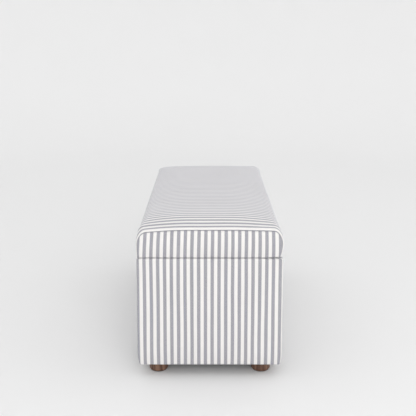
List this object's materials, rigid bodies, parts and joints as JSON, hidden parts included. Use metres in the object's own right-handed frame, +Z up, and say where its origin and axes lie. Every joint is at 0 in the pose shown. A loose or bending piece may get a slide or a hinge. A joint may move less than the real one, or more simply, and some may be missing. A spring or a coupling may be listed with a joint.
{
  "type": "storage ottoman",
  "caption": "Long upholstered bench with a hinged padded lid on gas struts over a lined storage box, standing on round wooden feet.",
  "frame": {"origin": "centre of the bench's footprint, on the floor", "axes": "+X along the length, towards the right end; -Y to the front; +Y to the hinged back; +Z up"},
  "size_m": [0.9998, 0.45, 0.486],
  "materials": {
    "striped_fabric": "matte",
    "wadding": "matte",
    "foam": "matte",
    "lining": "matte",
    "backing_cloth": "matte",
    "felt": "matte",
    "plywood": "matte",
    "walnut": "satin",
    "zinc_steel": "satin",
    "polished_rod": "polished",
    "dark_metal": "satin",
    "bumper": "satin"
  },
  "bodies": {
    "body": {"front_panel": "plywood", "back_panel": "plywood", "left_end_panel": "plywood", "right_end_panel": "plywood", "bottom_panel": "plywood", "front_rail": "plywood", "back_rail": "plywood", "left_end_rail": "plywood", "right_end_rail": "plywood", "centre_rail": "plywood", "front_left_corner_block": "plywood", "front_right_corner_block": "plywood", "back_left_corner_block": "plywood", "back_right_corner_block": "plywood", "front_left_foot": "walnut", "front_right_foot": "walnut", "back_left_foot": "walnut", "back_right_foot": "walnut", "foot_felts": "felt", "hanger_bolts": "zinc_steel", "tee_nuts": "zinc_steel", "panel_screws": "zinc_steel", "front_wadding": "wadding", "back_wadding": "wadding", "left_end_wadding": "wadding", "right_end_wadding": "wadding", "body_cover": "striped_fabric", "lining": "lining", "dust_cover": "backing_cloth", "underside_staples": "zinc_steel", "lid_bumpers": "bumper", "left_hinge_body_leaf": "dark_metal", "middle_hinge_body_leaf": "dark_metal", "right_hinge_body_leaf": "dark_metal", "hinge_pins": "zinc_steel", "hinge_body_screws": "zinc_steel", "left_strut_body_bracket": "dark_metal", "right_strut_body_bracket": "dark_metal", "strut_body_screws": "zinc_steel"},
    "lid": {"lid_board": "plywood", "lid_foam": "foam", "lid_wadding": "wadding", "lid_top_cover": "striped_fabric", "left_end_cover": "striped_fabric", "right_end_cover": "striped_fabric", "lid_underside_cover": "backing_cloth", "lid_staples": "zinc_steel", "left_hinge_lid_leaf": "dark_metal", "middle_hinge_lid_leaf": "dark_metal", "right_hinge_lid_leaf": "dark_metal", "hinge_lid_screws": "zinc_steel", "left_strut_lid_bracket": "dark_metal", "right_strut_lid_bracket": "dark_metal", "strut_lid_screws": "zinc_steel"},
    "left_tube": {"left_strut_tube": "dark_metal"},
    "left_rod": {"left_strut_rod": "polished_rod"},
    "right_tube": {"right_strut_tube": "dark_metal"},
    "right_rod": {"right_strut_rod": "polished_rod"}
  },
  "joints": [
    {"name": "lid_hinge", "type": "hinge", "parent": "body", "child": "lid", "pos_m": [0, 0.2215, 0.3816], "axis": [-1, 0, 0], "range_deg": [0, 80]},
    {"name": "left_tube_pivot", "type": "hinge", "parent": "body", "child": "left_tube", "pos_m": [-0.461, 0.17189, 0.20857], "axis": [-1, 0, 0], "range_deg": [0, 40]},
    {"name": "left_rod_pivot", "type": "hinge", "parent": "lid", "child": "left_rod", "pos_m": [-0.461, 0.04213, 0.36654], "axis": [-1, 0, 0], "range_deg": [-40, 0]},
    {"name": "right_tube_pivot", "type": "hinge", "parent": "body", "child": "right_tube", "pos_m": [0.461, 0.17189, 0.20857], "axis": [-1, 0, 0], "range_deg": [0, 40]},
    {"name": "right_rod_pivot", "type": "hinge", "parent": "lid", "child": "right_rod", "pos_m": [0.461, 0.04213, 0.36654], "axis": [-1, 0, 0], "range_deg": [-40, 0]}
  ],
  "couplings": [
    {"joint": "left_tube_pivot", "follows": "lid_hinge", "ratio": 0.5},
    {"joint": "left_rod_pivot", "follows": "lid_hinge", "ratio": -0.5},
    {"joint": "right_tube_pivot", "follows": "lid_hinge", "ratio": 0.5},
    {"joint": "right_rod_pivot", "follows": "lid_hinge", "ratio": -0.5}
  ]
}
